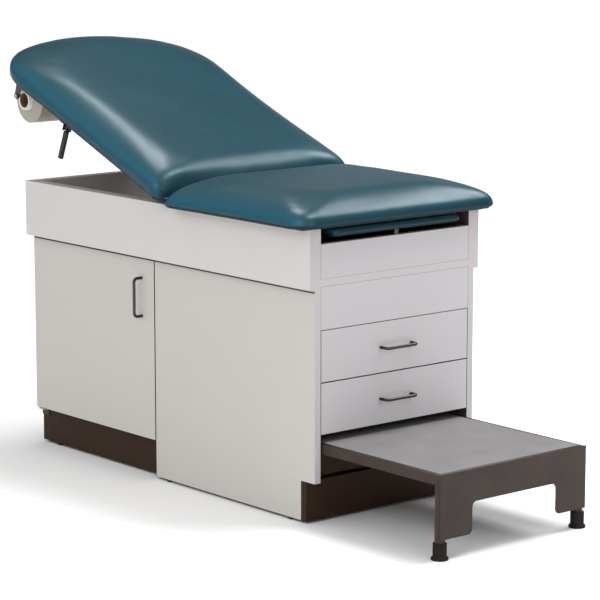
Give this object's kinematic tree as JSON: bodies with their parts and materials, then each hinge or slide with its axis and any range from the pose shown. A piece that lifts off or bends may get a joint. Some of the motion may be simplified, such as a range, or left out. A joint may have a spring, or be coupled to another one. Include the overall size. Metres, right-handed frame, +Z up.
{
  "type": "treatment table",
  "caption": "Cabinet treatment table with a padded seat, a tilting padded backrest, drawers, a hinged door, a slide-out leg rest and a pull-out step.",
  "frame": {"origin": "centre of the outer box on the floor, in the pictured pose", "axes": "+X from the head end to the foot end with the step, +Z up, the door side on -Y"},
  "size_m": [1.7972, 0.672, 1.1259],
  "materials": {
    "vinyl": "teal vinyl upholstery, satin",
    "laminate": "light grey laminate on board",
    "kick_laminate": "dark brown laminate on board",
    "board": "bare plywood",
    "powder_coat": "brown powder coat",
    "tread": "grey ribbed mat",
    "rubber": "dark rubber",
    "nickel": "brushed nickel",
    "steel": "zinc-plated steel",
    "rod_steel": "polished rod",
    "black_paint": "black paint",
    "black_plastic": "black moulded grip",
    "white_plastic": "moulded plastic",
    "paper": "white paper",
    "card": "brown card tube"
  },
  "bodies": {
    "cabinet": {"near_side_panel": "laminate", "far_side_panel": "laminate", "head_panel": "laminate", "partition_panel": "laminate", "compartment_floor": "laminate", "upper_front_panel": "laminate", "apron_front_board": "laminate", "apron_near": "laminate", "apron_far": "laminate", "apron_head": "laminate", "kick_foot": "kick_laminate", "foot_rail": "kick_laminate", "kick_door": "kick_laminate", "kick_head": "kick_laminate", "seat_cross_rail": "laminate", "deck_panel": "laminate", "floor_glides": "white_plastic", "door_catch": "white_plastic", "door_pivots": "powder_coat", "drawer_runners": "steel", "leg_rest_guide": "steel", "step_guides": "steel", "seat_board": "board", "seat_cushion": "vinyl", "seat_hinge_leaves": "steel", "hinge_pins": "steel", "spring_foot_bracket": "steel"},
    "backrest": {"backrest_board": "board", "backrest_cushion": "vinyl", "backrest_hinge_leaves": "steel", "release_cable": "black_plastic", "spring_head_bracket": "steel", "release_bracket": "steel", "roll_brackets": "steel", "roll_rod": "steel"},
    "gas_spring_cylinder": {"gas_cylinder": "black_paint"},
    "gas_spring_rod": {"gas_rod": "rod_steel"},
    "lever": {"release_lever": "steel", "release_grip": "black_plastic"},
    "roll": {"paper_roll": "paper", "paper_core": "card"},
    "door": {"door_panel": "laminate", "door_pull": "nickel", "door_strike": "steel"},
    "upper_drawer": {"upper_drawer_front": "laminate", "upper_drawer_box": "laminate", "upper_drawer_pull": "nickel", "upper_drawer_rails": "steel"},
    "lower_drawer": {"lower_drawer_front": "laminate", "lower_drawer_box": "laminate", "lower_drawer_pull": "nickel", "lower_drawer_rails": "steel"},
    "leg_rest": {"leg_rest_board": "board", "leg_rest_pad": "vinyl", "leg_rest_channel": "steel"},
    "step": {"step_frame": "powder_coat", "step_deck": "powder_coat", "step_tread": "tread", "step_fascia": "powder_coat", "step_tips": "rubber"}
  },
  "joints": [
    {"name": "backrest_tilt", "type": "hinge", "parent": "cabinet", "child": "backrest", "pos_m": [-0.07569, 0, 0.751], "axis": [0, 1, 0], "range_deg": [-21.8, 38.2]},
    {"name": "gas_cylinder_swing", "type": "hinge", "parent": "cabinet", "child": "gas_spring_cylinder", "pos_m": [-0.20499, 0, 0.42275], "axis": [0, 1, 0], "range_deg": [-11, 19.2]},
    {"name": "gas_rod_swing", "type": "hinge", "parent": "backrest", "child": "gas_spring_rod", "pos_m": [-0.41709, 0, 0.83993], "axis": [0, 1, 0], "range_deg": [-19.2, 11]},
    {"name": "release_lever_pull", "type": "hinge", "parent": "backrest", "child": "lever", "pos_m": [-0.52117, -0.301, 0.90818], "axis": [-0.9285, 0, 0.3714], "range_deg": [0, 25], "stiffness_Nm_per_rad": 0.6},
    {"name": "paper_roll_turn", "type": "hinge", "parent": "backrest", "child": "roll", "pos_m": [-0.81884, 0, 0.95562], "axis": [0, 1, 0], "continuous": true},
    {"name": "door_swing", "type": "hinge", "parent": "cabinet", "child": "door", "pos_m": [-0.73269, -0.255, 0.1], "axis": [0, 0, -1], "range_deg": [0, 100]},
    {"name": "upper_drawer_slide", "type": "slide", "parent": "cabinet", "child": "upper_drawer", "axis": [1, 0, 0], "range_m": [0, 0.4]},
    {"name": "lower_drawer_slide", "type": "slide", "parent": "cabinet", "child": "lower_drawer", "axis": [1, 0, 0], "range_m": [0, 0.4]},
    {"name": "leg_rest_slide", "type": "slide", "parent": "cabinet", "child": "leg_rest", "axis": [1, 0, 0], "range_m": [0, 0.38]},
    {"name": "step_slide", "type": "slide", "parent": "cabinet", "child": "step", "axis": [1, 0, 0], "range_m": [-0.42, 0]}
  ],
  "couplings": [
    {"joint": "gas_cylinder_swing", "follows": "backrest_tilt", "ratio": 0.5},
    {"joint": "gas_rod_swing", "follows": "backrest_tilt", "ratio": -0.5}
  ]
}
